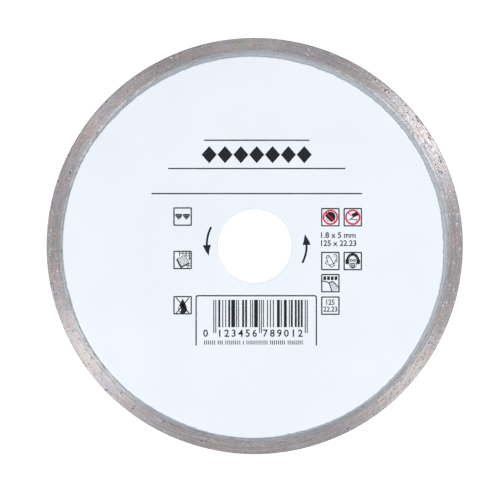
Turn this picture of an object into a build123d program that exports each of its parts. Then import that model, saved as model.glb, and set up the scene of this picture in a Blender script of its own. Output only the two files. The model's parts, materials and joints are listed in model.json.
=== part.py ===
from build123d import *
import os

# Continuous-rim diamond blade for tile and stone, cut on an angle grinder.
#
# Lengths are millimetres. Each piece is drawn lying flat, with the printed face up, and
# is then stood on edge: the arbor axis becomes Y, the printed face looks towards -Y and
# +Z is up. The origin is the centre of the arbor bore, half way through the thickness.

# Blade
BLADE_DIAMETER = 125.0
BORE_DIAMETER = 22.23
CORE_THICKNESS = 1.2
RIM_THICKNESS = 1.8

# Steel core: its edge is buried in the base ring, which grips it by a row of notches
CORE_EDGE_DIAMETER = 117.0
BORE_CHAMFER = 0.15
NOTCH_COUNT = 72
NOTCH_DEPTH = 0.4
NOTCH_WIDTH = 1.6

# Base ring: the sintered layer without diamond, which laps over the core's edge
LIP_DIAMETER = 115.9
LIP_STEP = 0.08
SHOULDER_DIAMETER = 117.0
BASE_DIAMETER = 117.8

# Diamond rim: the abrasive layer, with its outer corners rounded by dressing
RIM_CORNER_RADIUS = 0.3

# Enamel on each face of the core, held back from the bore and from the rim
COAT_THICKNESS = 0.06
COAT_DIAMETER = 114.4
COAT_BORE_DIAMETER = 22.68
FRONT_COAT_OFFSET = (-0.47, -0.38)
BACK_COAT_OFFSET = (0.0, 0.0)

CORE_HALF = CORE_THICKNESS / 2
RIM_HALF = RIM_THICKNESS / 2


def washer(outer_diameter, inner_diameter, thickness, outer_offset=(0.0, 0.0)):
    """A flat ring centred on the origin, whose outer edge may be off centre."""
    outline = Pos(*outer_offset) * Circle(outer_diameter / 2) - Circle(inner_diameter / 2)
    return extrude(outline, amount=thickness / 2, both=True)


def turned(points):
    """A solid turned about Z from a closed outline of (radius, height) points."""
    outline = Polyline([(radius, 0, height) for radius, height in points], close=True)
    return revolve(make_face(outline), Axis.Z)


def make_steel_core():
    """The steel blank: bore with chamfered edges, and keying notches round its edge."""
    blank = washer(CORE_EDGE_DIAMETER, BORE_DIAMETER, CORE_THICKNESS)
    bore_edges = blank.edges().filter_by(GeomType.CIRCLE).filter_by(
        lambda edge: edge.radius < BORE_DIAMETER
    )
    blank = chamfer(bore_edges, BORE_CHAMFER)
    notch = Box(2 * NOTCH_DEPTH, NOTCH_WIDTH, 2 * CORE_THICKNESS)
    return blank - PolarLocations(CORE_EDGE_DIAMETER / 2, NOTCH_COUNT) * notch


def make_base_ring(steel_core):
    """The ring round the core's edge: a small step, a sloping shoulder, then flat."""
    upper = [
        (LIP_DIAMETER / 2, CORE_HALF + LIP_STEP),
        (SHOULDER_DIAMETER / 2, RIM_HALF),
        (BASE_DIAMETER / 2, RIM_HALF),
    ]
    lower = [(radius, -height) for radius, height in reversed(upper)]
    return turned(upper + lower) - steel_core


def make_diamond_rim():
    """The abrasive ring that does the cutting."""
    ring = washer(BLADE_DIAMETER, BASE_DIAMETER, RIM_THICKNESS)
    corners = ring.edges().filter_by(GeomType.CIRCLE).group_by(SortBy.RADIUS)[-1]
    return fillet(corners, RIM_CORNER_RADIUS)


def make_coat(side, offset):
    """The enamel film on one face of the core: side is 1 for the front, -1 for the back."""
    film = washer(COAT_DIAMETER, COAT_BORE_DIAMETER, COAT_THICKNESS, offset)
    return Pos(0, 0, side * (CORE_THICKNESS + COAT_THICKNESS) / 2) * film


def stand_on_edge(piece):
    """Turns a piece drawn face up so that its face looks towards -Y."""
    return piece.rotate(Axis.X, 90)


def write(node, piece):
    """Writes one piece to its own STEP file, which has the node's name."""
    export_step(stand_on_edge(piece), f"parts/{node}.step")


os.makedirs("parts", exist_ok=True)

steel_core = make_steel_core()
write("steel_core", steel_core)
write("base_ring", make_base_ring(steel_core))
write("diamond_rim", make_diamond_rim())
write("front_coat", make_coat(1, FRONT_COAT_OFFSET))
write("back_coat", make_coat(-1, BACK_COAT_OFFSET))
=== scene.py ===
"""Looks of a continuous-rim diamond blade for tile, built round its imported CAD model.

Everything stands in the model's frame: the arbor axis is Y, the printed face looks towards
-Y, +Z is up, and the origin is the centre of the bore. Shapes are worked out in millimetres
and written in metres. A point of the blade is given by its place across (x), its place up
(z) and its height from the mid-plane, which is positive towards the printed face.
"""

import itertools
import json
import logging
import math
from collections.abc import Sequence
from dataclasses import dataclass, field, replace
from enum import Enum

import bmesh
import bpy
import numpy as np
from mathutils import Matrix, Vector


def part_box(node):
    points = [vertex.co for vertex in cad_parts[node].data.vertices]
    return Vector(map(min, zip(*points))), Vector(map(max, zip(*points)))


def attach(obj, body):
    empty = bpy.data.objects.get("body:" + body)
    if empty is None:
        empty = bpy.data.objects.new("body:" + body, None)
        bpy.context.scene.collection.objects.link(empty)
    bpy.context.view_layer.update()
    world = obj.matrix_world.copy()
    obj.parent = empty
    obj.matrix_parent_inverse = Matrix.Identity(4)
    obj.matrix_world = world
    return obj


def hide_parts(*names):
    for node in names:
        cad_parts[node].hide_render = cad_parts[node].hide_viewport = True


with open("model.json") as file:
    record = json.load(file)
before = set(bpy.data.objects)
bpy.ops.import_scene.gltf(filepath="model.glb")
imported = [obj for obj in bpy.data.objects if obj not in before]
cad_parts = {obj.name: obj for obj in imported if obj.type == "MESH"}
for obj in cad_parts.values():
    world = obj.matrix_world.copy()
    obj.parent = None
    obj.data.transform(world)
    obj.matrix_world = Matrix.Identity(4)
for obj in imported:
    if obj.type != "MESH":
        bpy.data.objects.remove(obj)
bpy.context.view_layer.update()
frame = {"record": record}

LOG = logging.getLogger("diamond_blade")

MM = 0.001
BODY = "root"
COLUMNS = 1440  # steps round the bore of everything that is turned
SEED = 486
RED_OVER_BLACK = 0.006  # how far the red ink stands above the black, in millimetres

Array = np.ndarray
Place = tuple[float, float]
Colour = tuple[float, float, float]
Socket = bpy.types.NodeSocket


# Shapes as arrays


@dataclass(frozen=True)
class Surface:
    """A closed skin as arrays.

    Attributes:
        points: One row of x, y, z for each vertex, in metres.
        corners: Vertex numbers of every face, one face after another.
        sizes: How many corners each face has.
        marks: Named values, one for each vertex, which a finish may read.
    """

    points: Array
    corners: Array
    sizes: Array
    marks: dict[str, Array] = field(default_factory=dict)

    def outward(self) -> "Surface":
        """Turns every face outwards.

        The volume is the sum of a . (b x c) / 6 over the faces' edges from b to c, where a
        is the face's first corner. If it comes out negative, all faces are reversed.

        Returns:
            The same skin with its faces pointing out.
        """
        starts = np.cumsum(self.sizes) - self.sizes
        following = np.arange(len(self.corners)) + 1
        following[starts + self.sizes - 1] = starts
        at = self.points[self.corners]
        first = at[np.repeat(starts, self.sizes)]
        if np.einsum("ij,ij->", first, np.cross(at, at[following])) >= 0:
            return self
        return Surface(self.points, self.corners[::-1], self.sizes[::-1], self.marks)

    def shown(self, name: str, finish: "Finish", smooth: bool = True) -> bpy.types.Object:
        """Makes the skin an object in the scene.

        Args:
            name: The object's name.
            finish: What it is made of.
            smooth: Whether light runs smoothly over its faces.

        Returns:
            The object, which rides on nothing yet.
        """
        mesh = bpy.data.meshes.new(name)
        mesh.vertices.add(len(self.points))
        mesh.vertices.foreach_set("co", self.points.astype(np.float32).ravel())
        mesh.loops.add(len(self.corners))
        mesh.loops.foreach_set("vertex_index", self.corners.astype(np.int32))
        mesh.polygons.add(len(self.sizes))
        starts = np.cumsum(self.sizes) - self.sizes
        mesh.polygons.foreach_set("loop_start", starts.astype(np.int32))
        mesh.polygons.foreach_set("use_smooth", np.full(len(self.sizes), smooth))
        for mark, values in self.marks.items():
            attribute = mesh.attributes.new(mark, "FLOAT", "POINT")
            attribute.data.foreach_set("value", values.astype(np.float32).ravel())
        mesh.update(calc_edges=True)
        mesh.validate()
        mesh.materials.append(finish.material())
        return linked(name, mesh)

    def piece(self, name: str, finish: "Finish", smooth: bool = True) -> bpy.types.Object:
        """Makes the skin a piece of the blade.

        Args:
            name: The piece's name.
            finish: What it is made of.
            smooth: Whether light runs smoothly over its faces.

        Returns:
            The piece, which rides on the blade's body.
        """
        made = self.shown(name, finish, smooth)
        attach(made, BODY)
        LOG.info("%s: %d faces, %s", name, len(self.sizes), finish.slot)
        return made


def linked(name: str, data: bpy.types.ID) -> bpy.types.Object:
    """Puts a mesh, lamp or camera into the scene as an object of its own.

    Args:
        name: The object's name.
        data: What it shows.

    Returns:
        The object, at the origin.
    """
    made = bpy.data.objects.new(name, data)
    bpy.context.scene.collection.objects.link(made)
    return made


def skin_faces(number: Array) -> Array:
    """The faces of a grid of point numbers, which joins up across its columns.

    Args:
        number: The point numbers, as rows and columns.

    Returns:
        Four point numbers for each square between two rows.
    """
    beside = np.roll(number, -1, 1)
    return np.stack([number[:-1], number[1:], beside[1:], beside[:-1]], -1).reshape(-1, 4)


def joined(parts: Sequence[Surface]) -> Surface:
    """Puts several skins into one.

    Args:
        parts: The skins, which carry no marks.

    Returns:
        One skin that holds them all, each turned outwards.
    """
    parts = [part.outward() for part in parts]
    offsets = np.cumsum([0] + [len(part.points) for part in parts[:-1]])
    return Surface(
        np.concatenate([part.points for part in parts]),
        np.concatenate([part.corners + offset for part, offset in zip(parts, offsets)]),
        np.concatenate([part.sizes for part in parts]),
    )


def wrapped(points: Array, marks: dict[str, Array] | None = None) -> Surface:
    """Lays a skin over a grid of points that joins up both ways, like a tyre.

    Face (i, j) has the corners (i, j), (i+1, j), (i+1, j+1) and (i, j+1), where each number
    is counted round the grid's size.

    Args:
        points: The grid, as rows, columns and x, y, z.
        marks: Named values on the same grid.

    Returns:
        The closed skin.
    """
    number = np.arange(points[..., 0].size).reshape(points.shape[:2])
    faces = skin_faces(np.concatenate([number, number[:1]]))
    sizes = np.full(len(faces), 4)
    return Surface(points.reshape(-1, 3), faces.ravel(), sizes, marks or {}).outward()


def tube(sections: Array) -> Surface:
    """Lays a skin over closed sections that follow a path, with a flat cap at each end.

    Args:
        sections: The grid of points, as sections, points of a section and x, y, z.

    Returns:
        The closed skin.
    """
    number = np.arange(sections[..., 0].size).reshape(sections.shape[:2])
    faces = skin_faces(number)
    caps = np.concatenate([number[0], number[-1][::-1]])
    sizes = np.concatenate([np.full(len(faces), 4), [number.shape[1]] * 2])
    return Surface(sections.reshape(-1, 3), np.concatenate([faces.ravel(), caps]), sizes)


def eased(corners: Array, radii: Sequence[float], steps: int = 5) -> Array:
    """Rounds the corners of a closed outline.

    A corner b whose radius isn't zero becomes the curve (1-t)^2 a + 2t(1-t) b + t^2 c, where
    a and c are the points that far before and behind it.

    Args:
        corners: The outline's corners, one row each.
        radii: How far from each corner its curve begins.
        steps: Points on each curve.

    Returns:
        The outline with its corners rounded.
    """
    t = np.linspace(0, 1, steps)[:, None]
    curves = []
    for before, corner, behind, radius in zip(
        np.roll(corners, 1, 0), corners, np.roll(corners, -1, 0), radii
    ):
        a = corner + (before - corner) * radius / np.linalg.norm(before - corner)
        c = corner + (behind - corner) * radius / np.linalg.norm(behind - corner)
        curve = (1 - t) ** 2 * a + 2 * t * (1 - t) * corner + t**2 * c
        curves.append(curve if radius else corner[None])
    return np.concatenate(curves)


def divided(outline: Array, spacing: float) -> Array:
    """Divides each side of a closed outline into equal steps no longer than the spacing.

    Args:
        outline: The outline's points, one row each.
        spacing: The longest step.

    Returns:
        The outline with the points between.
    """
    sides = zip(outline, np.roll(outline, -1, 0))
    steps = [
        (a, b, max(1, math.ceil(float(np.linalg.norm(b - a)) / spacing - 1e-6)))
        for a, b in sides
    ]
    return np.concatenate(
        [a + (b - a) * (np.arange(count) / count)[:, None] for a, b, count in steps]
    )


def raised(outline: Array, relief: Array) -> Array:
    """Raises a turned outline by a relief, at right angles to itself.

    The normal at a point is the chord between its neighbours turned by a quarter, with the
    sign that points away from the outline's inside.

    Args:
        outline: Radius and height of each point of the closed outline.
        relief: How far each column of the turned shape stands out at each outline point.

    Returns:
        Radius and height on the grid of columns and outline points.
    """
    chord = np.roll(outline, -1, 0) - np.roll(outline, 1, 0)
    normal = np.stack([chord[:, 1], -chord[:, 0]], -1)
    normal /= np.linalg.norm(normal, axis=1, keepdims=True)
    following = np.roll(outline, -1, 0)
    area = np.sum(outline[:, 0] * following[:, 1] - outline[:, 1] * following[:, 0])
    return outline + relief[..., None] * normal * np.sign(area)


def turned(outline: Array) -> Array:
    """Turns an outline about the arbor axis.

    A point at radius r and height h goes, at angle t, to x = r cos t, y = -h, z = r sin t.

    Args:
        outline: Radius and height of each point, the same or different for each column.

    Returns:
        The grid of points in metres, as columns, outline points and x, y, z.
    """
    angle = 2 * np.pi * np.arange(COLUMNS)[:, None] / COLUMNS
    radius = np.broadcast_to(outline[..., 0], (COLUMNS, outline.shape[-2]))
    height = np.broadcast_to(outline[..., 1], radius.shape)
    return MM * np.stack([radius * np.cos(angle), -height, radius * np.sin(angle)], -1)


def smooth_noise(shape: Place, blur: Place, rng: np.random.Generator) -> Array:
    """Makes a soft random field over a grid that joins up at its edges.

    White noise is blurred in each direction: its Fourier transform is multiplied by
    exp(-2 (pi f s)^2), where f is the direction's frequency and s the blur in grid steps.

    Args:
        shape: The grid's rows and columns.
        blur: The blur along each, in steps.
        rng: Where the random numbers come from.

    Returns:
        The field, with mean 0 and standard deviation 1.
    """
    rows, columns = (
        np.exp(-2 * (np.pi * np.fft.fftfreq(count) * width) ** 2)
        for count, width in zip(shape, blur)
    )
    spectrum = np.fft.fft2(rng.standard_normal(shape)) * rows[:, None] * columns[None, :]
    made = np.fft.ifft2(spectrum).real
    return (made - made.mean()) / made.std()


def straying(length: float, rng: np.random.Generator) -> Array:
    """A smooth noise round the ring alone, with waves of about that many columns."""
    return smooth_noise((COLUMNS, 1), (length, 1), rng)


def step(value: Array, low: float, high: float) -> Array:
    """A rise from 0 at low to 1 at high, by 3t^2 - 2t^3."""
    t = np.clip((value - low) / (high - low), 0, 1)
    return t * t * (3 - 2 * t)


# Finishes


class Recipe:
    """A node material being put together: its shader and the patterns that feed it.

    Attributes:
        material: The Blender material.
        shader: Its Principled shader.
        place: The Object coordinate in millimetres.
    """

    def __init__(self, name: str, sockets: dict[str, float]) -> None:
        """Starts a material.

        Args:
            name: The slot that the material is for.
            sockets: Values of the shader's sockets that are the same all over.
        """
        self.material = bpy.data.materials.new(f"finish_{name}")
        self.material.use_nodes = True
        self.shader = self.material.node_tree.nodes["Principled BSDF"]
        for socket, value in sockets.items():
            self.shader.inputs[socket].default_value = value
        self.place = self.vector("SCALE", self.node("TexCoord").outputs["Object"], scale=1 / MM)

    def node(
        self, kind: str, inputs: dict[str | int, object] | None = None, **options: object
    ) -> bpy.types.Node:
        """Adds a node.

        Args:
            kind: Its type, without the ShaderNode in front.
            inputs: What goes into its sockets: another node's socket, or a value.
            options: Its settings.

        Returns:
            The node.
        """
        made = self.material.node_tree.nodes.new("ShaderNode" + kind)
        for option, value in options.items():
            setattr(made, option, value)
        for key, value in (inputs or {}).items():
            self.join(value, made.inputs[key])
        return made

    def join(self, value: object, socket: Socket) -> None:
        """Links a socket to another, or gives it a value.

        Args:
            value: The socket that feeds it, or a number, vector or colour.
            socket: The socket to feed.
        """
        if isinstance(value, Socket):
            self.material.node_tree.links.new(value, socket)
        elif socket.type == "RGBA":
            socket.default_value = (*value, 1.0)
        else:
            socket.default_value = value

    def feed(self, **sockets: Socket) -> None:
        """Links patterns to the shader's sockets, named with _ for each space."""
        for name, value in sockets.items():
            self.join(value, self.shader.inputs[name.replace("_", " ")])

    def vector(
        self, operation: str, first: object, second: object = (0, 0, 0), scale: float = 1.0
    ) -> Socket:
        """Does vector arithmetic and returns its result, which is a number for LENGTH."""
        made = self.node("VectorMath", {0: first, 1: second, 3: scale}, operation=operation)
        return made.outputs["Value" if operation == "LENGTH" else "Vector"]

    def maths(self, operation: str, first: object, second: object = 0.0) -> Socket:
        """Does arithmetic on numbers and returns its result."""
        return self.node("Math", {0: first, 1: second}, operation=operation).outputs[0]

    def noise(self, place: Socket, scale: float, detail: float = 2.0) -> Socket:
        """A cloudy pattern from 0 to 1, whose clouds are about 1 / scale across."""
        made = self.node("TexNoise", {"Vector": place, "Scale": scale, "Detail": detail})
        return made.outputs["Fac"]

    def rise(
        self, value: Socket, low: float, high: float, start: float = 0.0, end: float = 1.0
    ) -> Socket:
        """A soft rise from start, where the value is low, to end, where it is high."""
        ends = {"Value": value, 1: low, 2: high, 3: start, 4: end}
        return self.node("MapRange", ends, interpolation_type="SMOOTHSTEP").outputs[0]

    def mixed(self, amount: Socket | float, first: object, second: object) -> Socket:
        """Mixes two colours and returns the result: the first where the amount is 0."""
        ends = {0: amount, 6: first, 7: second}
        return self.node("Mix", ends, data_type="RGBA").outputs[2]

    def mark(self, name: str) -> Socket:
        """The values of a mark on the piece's own mesh."""
        return self.node("Attribute", attribute_name=name).outputs["Fac"]

    def radius(self) -> Socket:
        """The distance from the arbor axis in millimetres."""
        return self.vector("LENGTH", self.vector("MULTIPLY", self.place, (1, 0, 1)))

    def arcs(self, along: float, across: float) -> Socket:
        """A coordinate that draws patterns out into arcs round the bore.

        It is the direction from the axis, as a unit vector times 60 / along, plus an axial
        part of radius and thickness over across. Noise of scale 1 over it has streaks of
        about that length near the rim, and of that width.

        Args:
            along: The streaks' length.
            across: Their width.

        Returns:
            The coordinate.
        """
        flat = self.vector("MULTIPLY", self.place, (1, 0, 1))
        around = self.vector("SCALE", self.vector("NORMALIZE", flat), scale=60 / along)
        through = self.node("SeparateXYZ", {0: self.place}).outputs["Y"]
        depth = self.maths("DIVIDE", self.maths("ADD", self.radius(), through), across)
        return self.vector("ADD", around, self.node("CombineXYZ", {1: depth}).outputs[0])

    def relief(self, layers: Sequence[tuple[Socket, float]]) -> None:
        """Feeds the shader's normal with bumps.

        Args:
            layers: Patterns from 0 to 1, each with its height in millimetres.
        """
        normal = None
        for pattern, height in layers:
            inputs = {"Height": pattern, "Distance": height * MM, "Strength": 1.0}
            if normal is not None:
                inputs["Normal"] = normal
            normal = self.node("Bump", inputs).outputs[0]
        self.feed(Normal=normal)

    def turned_grain(self) -> None:
        """Lays the shader's grain in rings round the arbor axis.

        The tangent runs round the axis, and a quarter turn of the gloss spreads it across
        the rings, as fine rings do.
        """
        tangent = self.node("Tangent", direction_type="RADIAL", axis="Y").outputs[0]
        self.feed(Tangent=tangent)
        self.shader.inputs["Anisotropic Rotation"].default_value = 0.25


class Finish:
    """Something that pieces are made of.

    Attributes:
        slot: The record's material slot.
    """

    slot: str

    def material(self) -> bpy.types.Material:
        """The finish's material, which is made once."""
        found = bpy.data.materials.get(f"finish_{self.slot}")
        return found or self.made().material

    def made(self) -> Recipe:
        """Makes the material."""
        raise NotImplementedError


@dataclass(frozen=True)
class GroundSteel(Finish):
    """Steel, finished on a surface grinder, with a haze of paint near the enamel's edges.

    Attributes:
        metal: The steel's colour.
        haze: The colour of the paint dust on it, by the rim.
        coated: The colour of the paint that ran over the bore's edge.
        inner: Radius within which paint lies over the bore's edge.
        outer: Radius outside which it lies by the rim.
    """

    metal: Colour = (0.50, 0.52, 0.55)
    haze: Colour = (0.57, 0.61, 0.665)
    coated: Colour = (0.86, 0.90, 0.96)
    inner: float = 11.9
    outer: float = 56.0
    slot = "core_steel"

    def made(self) -> Recipe:
        """Makes the material: turned streaks under dust that thickens towards the paint.

        Returns:
            The finished recipe.
        """
        recipe = Recipe(self.slot, {"Anisotropic": 0.7})
        streaks = recipe.noise(recipe.arcs(9.0, 0.12), 1.0)
        radius = recipe.radius()
        near_bore = recipe.rise(radius, self.inner - 0.3, self.inner, 1.0, 0.0)
        near_rim = recipe.rise(radius, self.outer, self.outer + 2.4, 1.0, 0.8)
        grains = recipe.rise(recipe.noise(recipe.place, 6.0, 3.0), 0.25, 0.6)
        dust = recipe.maths("MAXIMUM", recipe.maths("MULTIPLY", near_rim, grains), near_bore)
        metal = recipe.mixed(streaks, tuple(0.8 * part for part in self.metal), self.metal)
        paint = recipe.mixed(near_bore, self.haze, self.coated)
        recipe.feed(
            Base_Color=recipe.mixed(dust, metal, paint),
            Metallic=recipe.rise(dust, 0.2, 0.8, 1.0, 0.0),
            Roughness=recipe.rise(dust, 0.0, 1.0, 0.38, 0.6),
        )
        recipe.relief([(streaks, 0.004), (grains, 0.003)])
        recipe.turned_grain()
        return recipe


@dataclass(frozen=True)
class Sinter(Finish):
    """Hot-pressed metal powder, dressed by turning it against a stone.

    Attributes:
        slot: The record's material slot.
        metal: Its colour.
        casts: Colours that it drifts towards in patches.
        bronze: The colour of its copper-rich grains.
        pit: The colour inside a pit, painted there as shade; darker streaks and grains drift
            towards it too.
        shine: Roughness of its smooth parts.
        grit: Height of its grains, in millimetres.
        crater: Depth of the hollows that lost grains left.
        dust_and_light_radii: Radii between which paint dust and painted light on it fade out.
        dust: The colour of that dust, and of the painted light.
        dust_and_painted_light: How much of it lies at the inner of those radii: paint dust, and
            painted light that lightens the shoulder where shade falls.
        lip_painted_light: How much painted light, in the dust's colour, lies along the lip there,
            where shade falls at the lip's foot.
    """

    slot: str
    metal: Colour
    casts: tuple[Colour, Colour, Colour]
    bronze: Colour
    pit: Colour = (0.07, 0.066, 0.068)
    shine: float = 0.33
    grit: float = 0.007
    crater: float = 0.035
    dust_and_light_radii: Place = (0.0, 0.0)
    dust: Colour = (0.76, 0.80, 0.85)
    dust_and_painted_light: float = 0.20
    lip_painted_light: float = 0.30

    def made(self) -> Recipe:
        """Makes the material: patches, streaks, grains, craters, pits and paint dust.

        Craters are the cores of some of the cells of a scattered pattern, a millimetre
        apart, each with a rim that a wider core of the same cell gives. The cores of pits
        and craters are darkened as painted shade. On the base ring, paint dust and painted
        light lighten the shoulder and the lip's foot, where shade falls.

        Returns:
            The finished recipe.
        """
        recipe = Recipe(self.slot, {"Anisotropic": 0.96})
        colour: object = self.metal
        for cast, shift in zip(self.casts, (0.0, 31.0, 67.0)):
            place = recipe.vector("ADD", recipe.place, (shift, shift, shift))
            patch = recipe.rise(recipe.noise(place, 0.22, 3.0), 0.48, 0.68, 0.0, 0.75)
            colour = recipe.mixed(patch, colour, cast)
        streaks = recipe.noise(recipe.arcs(7.0, 0.30), 1.0, 1.0)
        grains = recipe.noise(recipe.place, 2.6, 1.0)
        colour = recipe.mixed(recipe.rise(streaks, 0.3, 0.7, 0.0, 0.3), colour, self.pit)
        colour = recipe.mixed(recipe.rise(grains, 0.56, 0.68, 0.0, 0.35), colour, self.bronze)
        colour = recipe.mixed(recipe.rise(grains, 0.42, 0.3, 0.0, 0.3), colour, self.pit)
        scatter = recipe.node("TexVoronoi", {"Vector": recipe.place, "Scale": 0.9})
        draw = recipe.node("SeparateColor", {0: scatter.outputs["Color"]}).outputs[0]
        chosen = recipe.rise(draw, 0.45, 0.47)
        apart = scatter.outputs["Distance"]
        core = recipe.maths("MULTIPLY", recipe.rise(apart, 0.06, 0.27, 1.0, 0.0), chosen)
        lip = recipe.maths("MULTIPLY", recipe.rise(apart, 0.22, 0.48, 1.0, 0.0), chosen)
        pits = recipe.maths("MAXIMUM", recipe.mark("pit"), 0.0)
        # Painted shade: pits and crater cores are darkened towards the pit colour.
        pit_shade = recipe.maths("MAXIMUM", pits, recipe.rise(core, 0.55, 1.0, 0.0, 0.35))
        colour = recipe.mixed(recipe.rise(pit_shade, 0.05, 0.6, 0.0, 0.65), colour, self.pit)
        rough = recipe.rise(grains, 0.3, 0.7, self.shine + 0.04, self.shine - 0.04)
        metallic: Socket | float = 0.92
        if any(self.dust_and_light_radii):
            start, end = self.dust_and_light_radii
            # Paint dust with painted light: it lightens the base ring's shoulder, where shade
            # falls.
            dust_and_painted_light = recipe.rise(recipe.radius(), start, end, self.dust_and_painted_light, 0.0)
            speckled = recipe.rise(recipe.noise(recipe.place, 4.0, 3.0), 0.2, 0.6, 0.4, 1.0)
            dust_and_painted_light = recipe.maths("MULTIPLY", dust_and_painted_light, speckled)
            # Painted light along the lip's foot, in the dust's colour, lightening the shade
            # there.
            lip_painted_light = recipe.rise(recipe.radius(), start + 0.03, start + 0.16, self.lip_painted_light, 0.0)
            dust_and_painted_light = recipe.maths("MAXIMUM", dust_and_painted_light, lip_painted_light)
            colour = recipe.mixed(dust_and_painted_light, colour, self.dust)
            metallic = recipe.rise(dust_and_painted_light, 0.0, 1.0, 0.92, 0.0)
        recipe.feed(
            Base_Color=colour,
            Metallic=metallic,
            Roughness=recipe.maths("ADD", rough, recipe.rise(pits, 0.0, 0.6, 0.0, 0.3)),
        )
        recipe.relief(
            [
                (streaks, 0.6 * self.grit),
                (grains, 0.5 * self.grit),
                (lip, 0.5 * self.crater),
                (core, -self.crater),
            ]
        )
        recipe.turned_grain()
        return recipe


@dataclass(frozen=True)
class Enamel(Finish):
    """White enamel, sprayed and stoved.

    Attributes:
        body: Its colour where it is thick.
        thin: Its colour where steel shows through.
    """

    body: Colour = (0.86, 0.90, 0.96)
    thin: Colour = (0.30, 0.33, 0.38)
    slot = "white_enamel"

    def made(self) -> Recipe:
        """Makes the material: orange peel, a slight drift of tone, and edges that thin out.

        Returns:
            The finished recipe.
        """
        recipe = Recipe(self.slot, {"Coat Weight": 0.15, "Coat Roughness": 0.12})
        drift = recipe.noise(recipe.place, 0.05, 2.0)
        peel = recipe.noise(recipe.place, 0.9, 1.0)
        spray = recipe.noise(recipe.place, 5.0, 3.0)
        shade = tuple(0.975 * part for part in self.body)
        tone = recipe.mixed(recipe.rise(drift, 0.3, 0.7), shade, self.body)
        cover = recipe.maths(
            "ADD", recipe.mark("cover"), recipe.rise(spray, 0.2, 0.8, -0.28, 0.28)
        )
        recipe.feed(
            Base_Color=recipe.mixed(recipe.rise(cover, 0.05, 0.75), self.thin, tone),
            Roughness=recipe.rise(spray, 0.3, 0.7, 0.30, 0.40),
        )
        recipe.relief([(peel, 0.008), (spray, 0.0015)])
        return recipe


@dataclass(frozen=True)
class Ink(Finish):
    """Printing ink on the enamel.

    Attributes:
        slot: The record's material slot.
        colour: The ink's colour where it is thick.
        thin: Its colour where it printed thinly.
        worn: The enamel's colour, where the ink has come off.
    """

    slot: str
    colour: Colour
    thin: Colour
    worn: Colour = Enamel.body

    def made(self) -> Recipe:
        """Makes the material: an uneven film with a few specks rubbed off.

        Returns:
            The finished recipe.
        """
        recipe = Recipe(self.slot, {"Specular IOR Level": 0.12})
        film = recipe.noise(recipe.place, 2.5, 3.0)
        specks = recipe.noise(recipe.place, 4.5, 4.0)
        tone = recipe.mixed(recipe.rise(film, 0.35, 0.7), self.colour, self.thin)
        recipe.feed(
            Base_Color=recipe.mixed(recipe.rise(specks, 0.70, 0.76), tone, self.worn),
            Roughness=recipe.rise(film, 0.3, 0.7, 0.42, 0.55),
        )
        recipe.relief([(film, 0.003)])
        return recipe


@dataclass(frozen=True)
class Crystal(Finish):
    """Synthetic diamond, grey to straw-coloured.

    Attributes:
        pale: The colour of its clear grains.
        straw: The colour of its yellow grains.
    """

    pale: Colour = (0.60, 0.61, 0.60)
    straw: Colour = (0.50, 0.46, 0.30)
    slot = "diamond_crystal"

    def made(self) -> Recipe:
        """Makes the material: partly clear grains of two tones.

        Returns:
            The finished recipe.
        """
        recipe = Recipe(self.slot, {"IOR": 2.42, "Transmission Weight": 0.35})
        tone = recipe.noise(recipe.place, 0.8, 1.0)
        frost = recipe.noise(recipe.place, 12.0, 2.0)
        recipe.feed(
            Base_Color=recipe.mixed(recipe.rise(tone, 0.45, 0.6), self.pale, self.straw),
            Roughness=recipe.rise(frost, 0.35, 0.65, 0.08, 0.30),
        )
        recipe.relief([(frost, 0.004)])
        return recipe


@dataclass(frozen=True)
class StudioPaper(Finish):
    """The pale sheet that the blade stands on.

    Attributes:
        tone: Its colour.
        glow: How brightly the lamps behind it shine through.
    """

    tone: Colour = (0.90, 0.90, 0.90)
    glow: float = 0.62
    slot = "studio_paper"

    def made(self) -> Recipe:
        """Makes the material: matt, with the faintest mottle.

        Returns:
            The finished recipe.
        """
        recipe = Recipe(self.slot, {"Roughness": 0.9, "Emission Strength": self.glow})
        mottle = recipe.noise(recipe.place, 0.02, 3.0)
        shade = tuple(0.99 * part for part in self.tone)
        recipe.feed(Base_Color=recipe.mixed(mottle, shade, self.tone))
        recipe.shader.inputs["Emission Color"].default_value = (1.0, 1.0, 1.0, 1.0)
        return recipe


DIAMOND_BOND = Sinter(
    "sintered_diamond",
    (0.336, 0.308, 0.314),
    ((0.38, 0.314, 0.304), (0.312, 0.318, 0.302), (0.322, 0.312, 0.352)),
    (0.46, 0.375, 0.325),
)
PLAIN_BOND = Sinter(
    "sintered_base",
    (0.365, 0.367, 0.388),
    ((0.38, 0.36, 0.37), (0.35, 0.37, 0.375), (0.345, 0.36, 0.40)),
    (0.44, 0.41, 0.40),
    shine=0.45,
    grit=0.004,
    crater=0.02,
    dust_and_light_radii=(57.9, 58.7),
)
BLACK_INK = Ink("black_ink", (0.006, 0.008, 0.012), (0.013, 0.016, 0.022))
RED_INK = Ink("red_ink", (0.72, 0.010, 0.055), (0.76, 0.035, 0.090))


# The blade's solid pieces


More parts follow.
